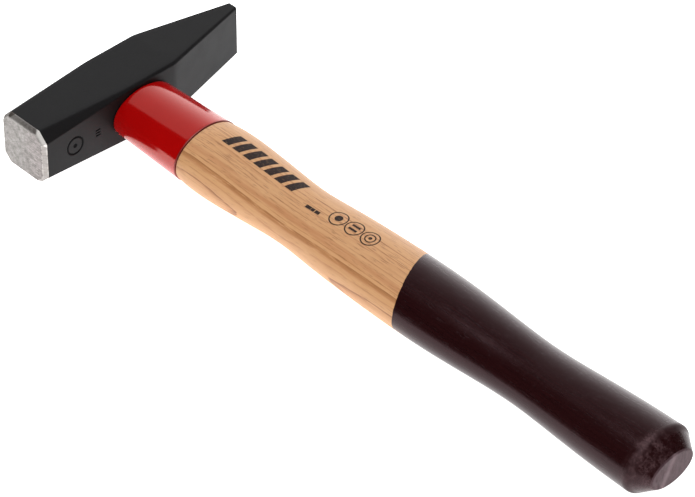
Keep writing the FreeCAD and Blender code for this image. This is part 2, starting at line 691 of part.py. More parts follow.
thread.setExpression("Turns", ref("thread_turns"))
ridge_sketch.Visibility = False
doc.recompute()

hexagon_sketch = new_sketch(screw, "HexagonOutline", "YZ_Plane", "-1 * " + ref("hexagon_top_at"))
corner_reach = size("hex_flats") / math.sqrt(3)
hexagon_corners = []
for i in range(6):
    turn = math.radians(60 * i)
    hexagon_corners.append((corner_reach * math.cos(turn), corner_reach * math.sin(turn)))
closed_lines(hexagon_sketch, hexagon_corners)
guide = hexagon_sketch.addGeometry(Part.Circle(Vector(0, 0, 0), Vector(0, 0, 1), corner_reach), True)
hexagon_sketch.addConstraint(Sketcher.Constraint("Coincident", guide, 3, *ORIGIN))
for i in range(6):
    hexagon_sketch.addConstraint(Sketcher.Constraint("PointOnObject", i, 1, guide))
for i in range(1, 6):
    hexagon_sketch.addConstraint(Sketcher.Constraint("Equal", 0, i))
hexagon_sketch.addConstraint(Sketcher.Constraint("PointOnObject", 0, 1, H_AXIS))
bind(hexagon_sketch, "Radius", (guide,), corner_reach, "corner_reach", ref("hex_flats") + " / sqrt(3)")
hexagon = screw.newObject("PartDesign::Pad", "Hexagon")
hexagon.Profile = hexagon_sketch
hexagon.setExpression("Length", ref("hex_tall") + " + " + ref("joint_gap"))
hexagon_sketch.Visibility = False
doc.recompute()
hexagon_rim = edges_where(hexagon, lambda edge: flat_at(edge, 0, -size("hexagon_top_at")))
screw.Tip = soften(screw, "PartDesign::Chamfer", "HexagonBreak", hexagon, hexagon_rim, "hex_chamfer")

# ---------------------------------------------------------------------------------------------
# Checks and export
# ---------------------------------------------------------------------------------------------

doc.recompute()
for item in doc.Objects:
    if "Invalid" in item.State or "Error" in item.State:
        raise RuntimeError(item.Name + " did not recompute: " + str(item.State))

os.makedirs("parts", exist_ok=True)
for body in (head, handle, sleeve, wedge, plate, screw):
    shape = body.Shape
    if shape.isNull() or not shape.isValid():
        raise RuntimeError(body.Label + " has no valid shape")
    if len(shape.Solids) != 1:
        raise RuntimeError(body.Label + " is not one solid")
    shape.exportStep("parts/" + body.Label + ".step")
    box = shape.BoundBox
    print("%-16s %8.2f cm3  X %7.2f %7.2f  Y %7.2f %7.2f  Z %6.2f %6.2f" % (
        body.Label, shape.Volume / 1000, box.XMin, box.XMax, box.YMin, box.YMax, box.ZMin, box.ZMax))
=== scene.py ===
import math

import bmesh
import bpy
import numpy as np
from mathutils import Matrix, Vector


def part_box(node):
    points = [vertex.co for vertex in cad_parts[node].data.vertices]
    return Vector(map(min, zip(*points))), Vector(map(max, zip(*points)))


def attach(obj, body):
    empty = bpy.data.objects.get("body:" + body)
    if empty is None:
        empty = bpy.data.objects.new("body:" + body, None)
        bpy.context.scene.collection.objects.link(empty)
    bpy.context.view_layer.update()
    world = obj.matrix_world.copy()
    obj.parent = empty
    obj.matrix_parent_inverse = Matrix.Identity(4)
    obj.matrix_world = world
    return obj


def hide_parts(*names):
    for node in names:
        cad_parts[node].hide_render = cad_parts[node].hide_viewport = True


# Looks of the cross peen hammer.  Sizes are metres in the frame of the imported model:
# +X along the handle towards the butt, +Y along the head towards the peen, +Z up.

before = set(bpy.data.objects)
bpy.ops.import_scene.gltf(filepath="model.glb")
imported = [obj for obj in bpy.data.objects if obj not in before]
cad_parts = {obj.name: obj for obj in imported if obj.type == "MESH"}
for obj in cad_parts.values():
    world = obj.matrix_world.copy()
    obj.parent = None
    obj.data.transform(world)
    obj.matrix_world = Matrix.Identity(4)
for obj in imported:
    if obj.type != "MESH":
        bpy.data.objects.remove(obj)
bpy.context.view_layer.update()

MM = 0.001
head_low, head_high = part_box("hammer_head")
AXIS_Z = 0.5 * (head_low.z + head_high.z)
CHEEK = 0.5 * (head_high.z - head_low.z)
FACE_Y = head_low.y
PEEN_Y = head_high.y
SIDE_X = head_high.x


# ---------------------------------------------------------------------------------------------
# Mesh helpers
# ---------------------------------------------------------------------------------------------

def in_metres(rows):
    """Rows of millimetres as rows of metres."""
    return [tuple(v * MM for v in row) for row in rows]


def spline(at, values, samples):
    """Natural cubic spline through values at positions at, read at samples."""
    at = np.asarray(at, float)
    values = np.asarray(values, float)
    count = len(at)
    step = np.diff(at)
    slope = np.diff(values, axis=0) / step[:, None]
    system = np.eye(count)
    right = np.zeros_like(values)
    for i in range(1, count - 1):
        system[i, i - 1] = step[i - 1]
        system[i, i] = 2.0 * (step[i - 1] + step[i])
        system[i, i + 1] = step[i]
        right[i] = 6.0 * (slope[i] - slope[i - 1])
    bend = np.linalg.solve(system, right)
    i = np.clip(np.searchsorted(at, samples) - 1, 0, count - 2)
    h = step[i][:, None]
    a = (at[i + 1] - samples)[:, None] / h
    b = 1.0 - a
    curve = (a ** 3 - a) * bend[i] + (b ** 3 - b) * bend[i + 1]
    return a * values[i] + b * values[i + 1] + curve * h ** 2 / 6.0


def rounded(stations, steps=5):
    """Stations whose last number is a rounding length; each corner becomes a small curve."""
    points = [np.array(s[:-1], float) for s in stations]
    result = []
    for i, point in enumerate(points):
        length = stations[i][-1]
        if length == 0.0:
            result.append(point)
            continue
        before = points[i] - points[i - 1]
        after = points[i + 1] - points[i]
        start = point - before * length / np.linalg.norm(before)
        end = point + after * length / np.linalg.norm(after)
        for t in np.linspace(0.0, 1.0, steps):
            result.append((1 - t) ** 2 * start + 2 * t * (1 - t) * point + t ** 2 * end)
    return np.array(result)


def filled(stations, longest):
    """Adds stations in between, so that no step is longer than the given length."""
    result = [stations[0]]
    for before, after in zip(stations[:-1], stations[1:]):
        count = max(1, int(math.ceil(np.linalg.norm(after - before) / longest)))
        for k in range(1, count + 1):
            result.append(before + (after - before) * k / count)
    return np.array(result)


def skin(name, rings, closed=False, sharp=30.0):
    """Mesh through rings of points.  An open skin gets a cap at each end."""
    rings = np.asarray(rings, float)
    count, around = rings.shape[:2]
    index = np.arange(count * around).reshape(count, around)
    faces = []
    last = count if closed else count - 1
    for i in range(last):
        a = index[i]
        b = index[(i + 1) % count]
        for k in range(around):
            n = (k + 1) % around
            faces.append((a[k], a[n], b[n], b[k]))
    if not closed:
        faces.append(tuple(index[0][::-1]))
        faces.append(tuple(index[-1]))
    mesh = bpy.data.meshes.new(name)
    mesh.from_pydata(rings.reshape(-1, 3).tolist(), [], [[int(v) for v in f] for f in faces])
    mesh.validate()
    finish_mesh(mesh, sharp)
    piece = bpy.data.objects.new(name, mesh)
    bpy.context.scene.collection.objects.link(piece)
    return piece


def finish_mesh(mesh, sharp):
    """Smooth shading, broken where faces meet at more than the sharp angle, in degrees."""
    mesh.polygons.foreach_set("use_smooth", [True] * len(mesh.polygons))
    mesh.set_sharp_from_angle(angle=math.radians(sharp))
    mesh.update()


def turned_rings(stations, around):
    """Oval rings across the handle from stations (x, half length along Y, half width along Z)."""
    angle = np.linspace(0.0, 2.0 * math.pi, around, endpoint=False)
    rings = np.zeros((len(stations), around, 3))
    for i, (x, half_long, half_wide) in enumerate(stations):
        rings[i, :, 0] = x
        rings[i, :, 1] = half_long * np.cos(angle)
        rings[i, :, 2] = AXIS_Z + half_wide * np.sin(angle)
    return rings


def recalculated(piece):
    """Makes all faces of a closed mesh look outwards."""
    work = bmesh.new()
    work.from_mesh(piece.data)
    bmesh.ops.recalc_face_normals(work, faces=work.faces)
    work.to_mesh(piece.data)
    work.free()


def cut_away(piece, tool, sharp=30.0):
    """Subtracts the tool from the piece and removes the tool."""
    modifier = piece.modifiers.new("cut", "BOOLEAN")
    modifier.operation = "DIFFERENCE"
    modifier.solver = "EXACT"
    modifier.object = tool
    graph = bpy.context.evaluated_depsgraph_get()
    mesh = bpy.data.meshes.new_from_object(piece.evaluated_get(graph))
    piece.modifiers.remove(modifier)
    old = piece.data
    piece.data = mesh
    mesh.name = piece.name
    bpy.data.meshes.remove(old)
    used = tool.data
    bpy.data.objects.remove(tool)
    bpy.data.meshes.remove(used)
    finish_mesh(mesh, sharp)


# ---------------------------------------------------------------------------------------------
# Material helpers
# ---------------------------------------------------------------------------------------------

class Value:
    """A number in a node graph.  Arithmetic on it adds Math nodes."""

    def __init__(self, graph, socket):
        self.graph = graph
        self.socket = socket

    def __add__(self, other):
        return self.graph.math("ADD", self, other)

    def __sub__(self, other):
        return self.graph.math("SUBTRACT", self, other)

    def __rsub__(self, other):
        return self.graph.math("SUBTRACT", other, self)

    def __mul__(self, other):
        return self.graph.math("MULTIPLY", self, other)

    def __truediv__(self, other):
        return self.graph.math("DIVIDE", self, other)


class Graph:
    """Node graph of one material, with the object's own coordinates as its input."""

    def __init__(self, name):
        self.material = bpy.data.materials.new(name)
        self.material.use_nodes = True
        self.tree = self.material.node_tree
        self.shader = self.tree.nodes["Principled BSDF"]
        coordinates = self.tree.nodes.new("ShaderNodeTexCoord")
        self.place = coordinates.outputs["Object"]
        split = self.tree.nodes.new("ShaderNodeSeparateXYZ")
        self.tree.links.new(self.place, split.inputs[0])
        self.x = Value(self, split.outputs[0])
        self.y = Value(self, split.outputs[1])
        self.z = Value(self, split.outputs[2])

    def feed(self, socket, value):
        """Links a value or an output to a socket, or sets the socket to a plain number."""
        if isinstance(value, Value):
            self.tree.links.new(value.socket, socket)
        elif hasattr(value, "is_output"):
            self.tree.links.new(value, socket)
        else:
            socket.default_value = value

    def math(self, operation, *values, clamp=False):
        node = self.tree.nodes.new("ShaderNodeMath")
        node.operation = operation
        node.use_clamp = clamp
        for i, value in enumerate(values):
            self.feed(node.inputs[i], value)
        return Value(self, node.outputs[0])

    def step(self, value, low, high):
        """0 below low, 1 above high, smooth between."""
        node = self.tree.nodes.new("ShaderNodeMapRange")
        node.interpolation_type = "SMOOTHSTEP"
        self.feed(node.inputs[0], value)
        node.inputs[1].default_value = low
        node.inputs[2].default_value = high
        node.inputs[3].default_value = 0.0
        node.inputs[4].default_value = 1.0
        return Value(self, node.outputs[0])

    def span(self, value, low, high):
        """Maps 0..1 to low..high."""
        return value * (high - low) + low

    def noise(self, scale, detail=3.0, rough=0.5, twist=0.0, shift=(0, 0, 0), place=None):
        """Noise from 0 to 1.  The scale is in cells per metre along each axis."""
        mapping = self.tree.nodes.new("ShaderNodeMapping")
        self.tree.links.new(self.place if place is None else place, mapping.inputs["Vector"])
        mapping.inputs["Scale"].default_value = scale
        mapping.inputs["Location"].default_value = shift
        node = self.tree.nodes.new("ShaderNodeTexNoise")
        self.tree.links.new(mapping.outputs[0], node.inputs["Vector"])
        node.inputs["Scale"].default_value = 1.0
        node.inputs["Detail"].default_value = detail
        node.inputs["Roughness"].default_value = rough
        node.inputs["Distortion"].default_value = twist
        return Value(self, node.outputs[0])

    def vector(self, x, y, z):
        node = self.tree.nodes.new("ShaderNodeCombineXYZ")
        for socket, value in zip(node.inputs, (x, y, z)):
            self.feed(socket, value)
        return node.outputs[0]

    def ramp(self, value, stops):
        """Colour read from stops (position, colour)."""
        node = self.tree.nodes.new("ShaderNodeValToRGB")
        band = node.color_ramp
        while len(band.elements) < len(stops):
            band.elements.new(0.5)
        for element, (position, colour) in zip(band.elements, stops):
            element.position = position
            element.color = (*colour, 1.0)
        self.feed(node.inputs[0], value)
        return node.outputs[0]

    def mix(self, factor, a, b, kind="MIX"):
        """Colour a where the factor is 0, colour b where it is 1."""
        node = self.tree.nodes.new("ShaderNodeMix")
        node.data_type = "RGBA"
        node.blend_type = kind
        self.feed(node.inputs[0], factor)
        for socket, value in ((node.inputs[6], a), (node.inputs[7], b)):
            if isinstance(value, tuple):
                value = (*value, 1.0)
            self.feed(socket, value)
        return node.outputs[2]

    def bump(self, height, depth):
        """Fine relief: a height of 1 stands for the depth, in metres."""
        node = self.tree.nodes.new("ShaderNodeBump")
        node.inputs["Distance"].default_value = depth
        self.feed(node.inputs["Height"], height)
        self.tree.links.new(node.outputs[0], self.shader.inputs["Normal"])

    def set(self, **sockets):
        """Shader inputs by name, with _ for a space."""
        for name, value in sockets.items():
            name = name.replace("_", " ")
            if isinstance(value, tuple):
                value = (*value, 1.0)
            self.feed(self.shader.inputs[name], value)


def linear(red, green, blue):
    """Linear colour from screen values 0..255."""
    def one(v):
        v = v / 255.0
        return v / 12.92 if v <= 0.04045 else ((v + 0.055) / 1.055) ** 2.4
    return (one(red), one(green), one(blue))


def wear(piece, *materials):
    """Gives the piece these materials and no others."""
    piece.data.materials.clear()
    for material in materials:
        piece.data.materials.append(material)


# ---------------------------------------------------------------------------------------------
# Hammer head
# ---------------------------------------------------------------------------------------------

# bevel round the striking face, across and along the head
BEVEL = 1.4 * MM
BEVEL_RUN = 1.9 * MM
BEVEL_BLEND = 0.25 * MM
# half depth behind the bevel, and the corner cuts behind and inside the bevel
FACE_SIDE = 12.85 * MM
CORNER = 4.4 * MM
FACE_CORNER = 3.4 * MM
# where the corner cuts run out into the edge break, and how softly
EDGE_BREAK = 0.95 * MM
CORNER_END_Y = -7.0 * MM
CORNER_END_BLEND = 3.0 * MM
# where the peen starts to taper, and its blunt edge
PEEN_START_Y = 18.2 * MM
PEEN_START_BLEND = 1.6 * MM
TIP_HALF = 2.45 * MM
TIP_WIDTH = 12.0 * MM
TIP_BREAK = 0.6 * MM
TIP_ROUND = 0.5 * MM
TIP_ROUND_STEPS = 7
TIP_WIDTH_SHARE = 0.4
TIP_BREAK_SHARE = 0.3
# rounding of the long edges, as a share of it at the face and at the peen edge
EDGE_ROUND = 0.35 * MM
FACE_EDGE_SHARE = 0.3
TIP_EDGE_SHARE = 0.35
# mesh density: points per corner, on the handle side, on the other sides and on the cuts
CORNER_STEPS = 4
PLUS_STEPS = 110
SIDE_STEPS = 14
CUT_STEPS = 5
RING_STEP = 1.6 * MM
FACE_RINGS = (0.25, 0.5, 0.75, 0.985)
BARE_MARGIN = 0.12 * MM
# struck marks on the handle side: their stretch of finer rings, then the marks themselves
STAMP_FROM = -41.0 * MM
STAMP_TO = -19.5 * MM
STAMP_STEP = 0.17 * MM
STAMP_DEPTH = 0.3 * MM
STAMP_EDGE = 0.13 * MM
STAMP_FLAT = 0.005 * MM
LIP_AT = 0.3 * MM
LIP_WIDTH = 0.18 * MM
LIP_HEIGHT = 0.02 * MM
MARK_Y = -35.0 * MM
MARK_OUTER = 4.3 * MM
MARK_INNER = 3.5 * MM
MARK_DOT = 0.9 * MM
SMALL_MARK_Y = -23.1 * MM
SMALL_HALF = 1.2 * MM
SMALL_THICK = 0.55 * MM
SMALL_STEP = 1.3 * MM


def octagon_ring(y, depth, width, cut, edge):
    """Ring of points across the head, with small rounded corners."""
    corners = [
        (depth, -(width - cut)), (depth, width - cut), (depth - cut, width), (cut - depth, width),
        (-depth, width - cut), (-depth, cut - width), (cut - depth, -width), (depth - cut, -width),
    ]
    corners = [np.array(c) for c in corners]
    counts = [PLUS_STEPS, CUT_STEPS] + [SIDE_STEPS, CUT_STEPS] * 3
    points = []
    for i in range(8):
        before, here, following = corners[i - 1], corners[i], corners[(i + 1) % 8]
        out = (following - here) / np.linalg.norm(following - here)
        back = (here - before) / np.linalg.norm(here - before)
        for t in np.linspace(0.0, 1.0, CORNER_STEPS):
            start = here - back * edge
            end = here + out * edge
            points.append((1 - t) ** 2 * start + 2 * t * (1 - t) * here + t * t * end)
        begin = here + out * edge
        stop = following - out * edge
        for k in range(1, counts[i]):
            points.append(begin + (stop - begin) * k / counts[i])
    ring = np.zeros((len(points), 3))
    ring[:, 0] = [p[0] for p in points]
    ring[:, 1] = y
    ring[:, 2] = AXIS_Z + np.array([p[1] for p in points])
    return ring


def soft_inside(distance, half_edge):
    """1 inside a shape, 0 outside, from its signed distance."""
    t = np.clip((half_edge - distance) / (2.0 * half_edge), 0.0, 1.0)
    return t * t * (3.0 - 2.0 * t)


def stamp_depth(y, z):
    """Depth of the struck marks at a point of the handle side of the head."""
    from_mark = np.hypot(y - MARK_Y, z)
    band = np.abs(from_mark - 0.5 * (MARK_OUTER + MARK_INNER)) - 0.5 * (MARK_OUTER - MARK_INNER)
    depth = soft_inside(band, STAMP_EDGE)
    depth = np.maximum(depth, soft_inside(from_mark - MARK_DOT, STAMP_EDGE))
    nearest = np.minimum(band, from_mark - MARK_DOT)
    for step in (-1, 0, 1):
        across = np.abs(z - step * SMALL_STEP) - 0.5 * SMALL_THICK
        along = np.abs(y - SMALL_MARK_Y) - SMALL_HALF
        stroke = np.maximum(across, along)
        depth = np.maximum(depth, soft_inside(stroke, STAMP_EDGE))
        nearest = np.minimum(nearest, stroke)
    lip = np.exp(-((nearest - LIP_AT) / LIP_WIDTH) ** 2)
    return STAMP_DEPTH * depth - LIP_HEIGHT * lip


def head_path():
    """Sections along the head: Y, half depth, half width and corner cut."""
    slope = (SIDE_X - TIP_HALF) / (PEEN_Y - PEEN_START_Y)
    tip_start = TIP_HALF + slope * TIP_ROUND
    stations = [
        (FACE_Y, FACE_SIDE - BEVEL, CHEEK - BEVEL, FACE_CORNER, 0.0),
        (FACE_Y + BEVEL_RUN, FACE_SIDE, CHEEK, CORNER, BEVEL_BLEND),
        (CORNER_END_Y, SIDE_X, CHEEK, EDGE_BREAK, CORNER_END_BLEND),
        (PEEN_START_Y, SIDE_X, CHEEK, EDGE_BREAK, PEEN_START_BLEND),
        (PEEN_Y - TIP_ROUND, tip_start, TIP_WIDTH, TIP_BREAK, 0.0),
    ]
    path = rounded(stations, steps=7)
    for t in np.linspace(0.0, 0.5 * math.pi, TIP_ROUND_STEPS)[1:]:
        y = PEEN_Y - TIP_ROUND * (1.0 - math.sin(t))
        drop = TIP_ROUND * (1.0 - math.cos(t))
        width = TIP_WIDTH - TIP_WIDTH_SHARE * drop
        cut = TIP_BREAK - TIP_BREAK_SHARE * drop
        path = np.vstack([path, (y, tip_start - drop, width, cut)])
    path = filled(path, RING_STEP)
    dense = np.arange(STAMP_FROM, STAMP_TO, STAMP_STEP)
    inside = [dense] + [np.interp(dense, path[:, 0], path[:, c]) for c in (1, 2, 3)]
    outside = (path[:, 0] < STAMP_FROM - 0.2 * STAMP_STEP) | (path[:, 0] > STAMP_TO)
    path = np.vstack([path[outside], np.column_stack(inside)])
    return path[np.argsort(path[:, 0])]


def build_head():
    rings = []
    for y, depth, width, cut in head_path():
        past_face = min(1.0, max(0.0, (y - FACE_Y) / BEVEL_RUN))
        before_tip = min(1.0, max(0.0, (PEEN_Y - y) / TIP_ROUND))
        edge = EDGE_ROUND * (FACE_EDGE_SHARE + (1.0 - FACE_EDGE_SHARE) * past_face)
        edge = edge * (TIP_EDGE_SHARE + (1.0 - TIP_EDGE_SHARE) * before_tip)
        rings.append(octagon_ring(y, depth, width, cut, edge))
    # the striking face: rings from near its middle out to its rim
    face = rings[0]
    centre = np.array([0.0, FACE_Y, AXIS_Z])
    rings = np.array([centre + (face - centre) * share for share in FACE_RINGS] + rings)
    # the struck marks sink into the flat of the handle side
    top = rings[:, :, 0] > rings[:, :, 0].max(axis=1)[:, None] - STAMP_FLAT
    sunk = stamp_depth(rings[:, :, 1], rings[:, :, 2] - AXIS_Z)
    near = (rings[:, :, 1] > STAMP_FROM) & (rings[:, :, 1] < STAMP_TO)
    rings[:, :, 0] -= np.where(top & near, np.maximum(sunk, 0.0), 0.0)
    head = skin("head_forging", rings, sharp=24.0)
    recalculated(head)
    return head


EYE_REACH = 13.6 * MM
EYE_BREAK = 0.5 * MM
THROAT_X = 3.0 * MM
EYE_AROUND = 96


def build_eye_tool():
    """The eye as a solid: it narrows to a throat, and both mouths have a broken edge."""
    stations = np.array([
        (-EYE_REACH, 14.45 * MM, 9.65 * MM),
        (-SIDE_X, 13.44 * MM, 8.61 * MM),
        (-SIDE_X + EYE_BREAK, 12.85 * MM, 8.06 * MM),
        (THROAT_X, 11.4 * MM, 6.8 * MM),
        (SIDE_X - EYE_BREAK, 12.13 * MM, 7.35 * MM),
        (SIDE_X, 12.65 * MM, 7.87 * MM),
        (EYE_REACH, 13.6 * MM, 8.8 * MM),
    ])
    tool = skin("eye_tool", turned_rings(stations, EYE_AROUND))
    recalculated(tool)
    return tool


head = build_head()
cut_away(head, build_eye_tool(), sharp=24.0)

BARE_END = FACE_Y + BEVEL_RUN + BARE_MARGIN
bare = [poly.center.y < BARE_END for poly in head.data.polygons]
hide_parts("hammer_head")
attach(head, "root")


# ---------------------------------------------------------------------------------------------
# Handle
# ---------------------------------------------------------------------------------------------

# Millimetres: distance from the eye's centre, half length along the head, half width.
WOOD_STATIONS = [
    (50.95, 16.4, 11.95), (56.3, 16.95, 12.45), (63.85, 17.2, 12.65), (76.4, 16.65, 12.25),
    (90.4, 15.6, 11.45), (105.45, 14.72, 10.85), (122.5, 15.6, 11.5), (142.55, 16.6, 12.2),
    (166.65, 17.12, 12.55), (188.7, 16.7, 12.25), (208.75, 15.45, 11.4), (228.85, 14.6, 10.75),
    (250.9, 15.5, 11.6), (274.95, 16.65, 12.6), (289.6, 16.95, 12.82),
]
# The same with a rounding length: up the screw hole and the wedge's socket to the tenon's end
# grain, down the tenon, and along the neck to the rounded step beside the sleeve.
TENON_STATIONS = [
    (30.5, 0.3, 0.3, 0.0), (30.5, 2.95, 2.95, 0.3), (2.75, 2.95, 2.95, 0.0),
    (2.75, 4.45, 4.45, 0.0), (-11.7, 5.5, 5.5, 0.0), (-12.3, 5.9, 5.9, 0.0),
    (-12.3, 12.7, 7.9, 0.15), (3.0, 11.35, 6.75, 0.6), (12.95, 12.05, 7.28, 0.2),
    (14.05, 12.05, 7.28, 0.0), (14.05, 14.75, 9.8, 0.2), (50.92, 15.85, 11.35, 0.0),
    (50.95, 16.05, 11.6, 0.0), (51.15, 16.32, 11.86, 0.0),
]
# The butt: its bevel, then rings towards the middle of the flat end.
BUTT_STATIONS = [
    (289.6, 16.95, 12.82, 1.3), (297.05, 10.9, 6.7, 0.45),
    (297.05, 9.0, 5.2, 0.0), (297.05, 5.0, 2.9, 0.0), (297.05, 1.2, 0.7, 0.0),
]
WOOD_START_GAP = 0.4 * MM
WOOD_END_GAP = 1.4 * MM
WOOD_RINGS = 260
HANDLE_AROUND = 128
TENON_STEP = 3.0 * MM
BUTT_STEP = 0.8 * MM


def build_handle():
    table = np.array(WOOD_STATIONS) * MM
    samples = np.linspace(table[0, 0] + WOOD_START_GAP, table[-1, 0] - WOOD_END_GAP, WOOD_RINGS)
    wood = np.column_stack([samples, spline(table[:, 0], table[:, 1:], samples)])
    tenon = filled(rounded(in_metres(TENON_STATIONS), steps=4), TENON_STEP)
    butt = rounded([(*wood[-1], 0.0)] + in_metres(BUTT_STATIONS), steps=9)
    butt = filled(butt, BUTT_STEP)
    stations = np.vstack([tenon, wood, butt[1:]])
    handle = skin("handle_wood", turned_rings(stations, HANDLE_AROUND), sharp=34.0)
    recalculated(handle)
    return handle


handle = build_handle()
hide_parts("handle")
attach(handle, "root")


# ---------------------------------------------------------------------------------------------
# Sleeve
# ---------------------------------------------------------------------------------------------

# Millimetres, as for the handle, with a rounding length: the flange under the head, the outside
# to the free end, and back along the inside.
SLEEVE_STATIONS = [
    (13.0, 13.0, 8.1, 0.0), (13.0, 15.65, 10.7, 1.4), (33.25, 16.25, 11.5, 3.0),
    (50.9, 16.75, 12.25, 0.55), (50.9, 15.98, 11.48, 0.12), (49.9, 15.9, 11.42, 0.0),
    (14.0, 14.8, 9.85, 0.1), (14.0, 12.13, 7.35, 0.15), (13.0, 12.13, 7.35, 0.1),
    (13.0, 13.0, 8.1, 0.0),
]
SLEEVE_STEP = 1.2 * MM
SLEEVE_AROUND = 160


def build_sleeve():
    path = rounded(in_metres(SLEEVE_STATIONS), steps=8)[:-1]
    path = filled(path, SLEEVE_STEP)
    sleeve = skin("sleeve_shell", turned_rings(path, SLEEVE_AROUND), closed=True, sharp=50.0)
    recalculated(sleeve)
    return sleeve


sleeve = build_sleeve()
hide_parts("handle_sleeve")
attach(sleeve, "root")


# ---------------------------------------------------------------------------------------------
# Materials
# ---------------------------------------------------------------------------------------------

def black_coat():
    """Black satin coating, worn at the peen edge and darker in the struck marks."""
    g = Graph("black_coat")
    fine = g.noise((1500, 1500, 1500), detail=4.0)
    coarse = g.noise((120, 120, 120), detail=2.0)
    base = g.mix(fine, linear(18, 17, 18), linear(27, 26, 26))
    tip = g.step(g.y, PEEN_Y - 0.7 * MM, PEEN_Y - 0.1 * MM)
    worn = g.step(g.noise((900, 900, 350), detail=4.0) + tip * 0.5, 0.72, 0.95)
    # how far a point lies below the handle side, which slopes a little towards the face
    slope = (SIDE_X - FACE_SIDE) / (CORNER_END_Y - FACE_Y - BEVEL_RUN)
    plane = (g.y - CORNER_END_Y) * slope + SIDE_X
    sunk = g.step(plane - g.x, 0.04 * MM, 0.2 * MM)
    sunk = sunk * g.step(g.x, SIDE_X - 0.6 * MM, SIDE_X - 0.5 * MM)
    along = g.step(g.y, STAMP_FROM, STAMP_FROM + 1.0 * MM)
    along = along * (1.0 - g.step(g.y, STAMP_TO, STAMP_TO + 1.0 * MM))
    across = 1.0 - g.step(g.math("ABSOLUTE", g.z - AXIS_Z), 6.0 * MM, 7.0 * MM)
    marked = along * sunk * across
    base = g.mix(marked, base, linear(6, 6, 6))
    g.set(Base_Color=g.mix(worn * 0.6, base, linear(120, 120, 124)))
    g.set(Roughness=g.span(coarse, 0.42, 0.54) + marked * 0.3)
    g.set(IOR=1.245, Specular_Tint=(0.93, 0.95, 1.0))
    grain = fine * 0.35 + g.noise((420, 420, 420), detail=2.0) * 0.5 + coarse * 0.9
    g.bump(grain, 0.012 * MM)
    return g.material


GRIND_TURN = 0.6


def ground_steel():
    """Bare striking face and its bevel, with grinding lines, bright rims and some stain."""
    g = Graph("ground_steel")
    u = g.x * math.cos(GRIND_TURN) + g.z * math.sin(GRIND_TURN)
    v = g.z * math.cos(GRIND_TURN) - g.x * math.sin(GRIND_TURN)
    streaks = g.noise((260, 3600, 260), detail=4.0, rough=0.65, place=g.vector(u, v, g.y))
    cross = g.noise((3000, 300, 300), detail=3.0, rough=0.6, place=g.vector(u, v, g.y))
    patches = g.noise((520, 520, 520), detail=5.0, rough=0.65)
    scratch = g.noise((200, 200, 2600), detail=3.0, rough=0.6)
    right = g.step(g.x, -2.0 * MM, 9.0 * MM)
    tone = streaks * 0.35 + cross * 0.25 + patches * 0.85 - 0.125
    tone = tone + (scratch - 0.5) * (right * 0.7 + 0.1)
    steel = g.ramp(tone, [(0.36, linear(98, 95, 92)), (0.55, linear(134, 130, 127)),
                          (0.78, linear(170, 166, 163))])
    steel = g.mix(right * 0.7, steel, (1.0, 0.94, 0.96), kind="MULTIPLY")
    # the bevel is brighter than the face, and its two rims are brightest
    bevelled = g.step(g.y, FACE_Y + 0.1 * MM, FACE_Y + 0.3 * MM)
    steel = g.mix(bevelled * 0.45, steel, linear(180, 176, 172))
    near_rim = g.step(g.y, FACE_Y + 0.01 * MM, FACE_Y + 0.05 * MM)
    rim = near_rim * (1.0 - g.step(g.y, FACE_Y + 0.15 * MM, FACE_Y + 0.35 * MM))
    outer = g.step(g.y, FACE_Y + BEVEL_RUN - 0.35 * MM, FACE_Y + BEVEL_RUN - 0.1 * MM)
    line = (rim + outer) * g.step(patches, 0.35, 0.6)
    steel = g.mix(line * 0.6, steel, linear(228, 225, 221))
    # one corner facet of the bevel is much paler; the bevel beside it and the next corner are stained
    pale_facet = bevelled * g.step(g.z + g.x - AXIS_Z, 19.5 * MM, 20.5 * MM)
    steel = g.mix(pale_facet * 0.8, steel, linear(238, 235, 231))
    blotches = g.span(g.step(patches, 0.36, 0.56), 0.35, 1.0)
    blotches = blotches * g.span(g.step(g.x, -8.0 * MM, 5.0 * MM), 0.4, 0.8)
    top_bevel = g.step(g.z - AXIS_Z, 11.2 * MM, 12.0 * MM) * (1.0 - pale_facet) * blotches * 0.8
    left_corner = g.step(g.z - g.x - AXIS_Z, 17.8 * MM, 19.2 * MM) * 0.85
    stained = bevelled * g.math("MAXIMUM", top_bevel, left_corner)
    g.set(Base_Color=g.mix(stained, steel, linear(66, 57, 51)))
    g.set(Metallic=0.75, Roughness=g.span(patches, 0.45, 0.65))
    g.bump(streaks * 0.7 + cross * 0.4 + patches * 0.6, 0.02 * MM)
    return g.material


RIM_PAINT_AND_SHADE_FROM = 50.2 * MM


def red_enamel():
    """Gloss red enamel; on the free edge of the sleeve the paint is duller and darker, the darkening
    partly painted shade.
    """
    g = Graph("red_enamel")
    streaks = g.noise((40, 900, 900), detail=3.0)
    cloud = g.noise((90, 90, 90), detail=2.0)
    # free edge of the sleeve: duller paint, and darker partly as painted shade of the edge
    rim = g.step(g.x, RIM_PAINT_AND_SHADE_FROM, RIM_PAINT_AND_SHADE_FROM + 0.35 * MM)
    red = g.mix(cloud, linear(164, 2, 3), linear(176, 4, 4))
    g.set(Base_Color=g.mix(rim * 0.8, red, linear(84, 2, 2)))
    g.set(Roughness=g.span(streaks, 0.09, 0.14) + rim * 0.35)
    g.set(IOR=1.9, Specular_Tint=(1.0, 0.52, 0.46))
    g.bump(streaks * 0.5 + cloud, 0.002 * MM)
    return g.material


# Edge of the dark dip: its place on the axis, and its slope along the head and upwards.
DIP_X = 165.15 * MM
DIP_SLOPE_Y = -0.377
DIP_SLOPE_Z = 0.012
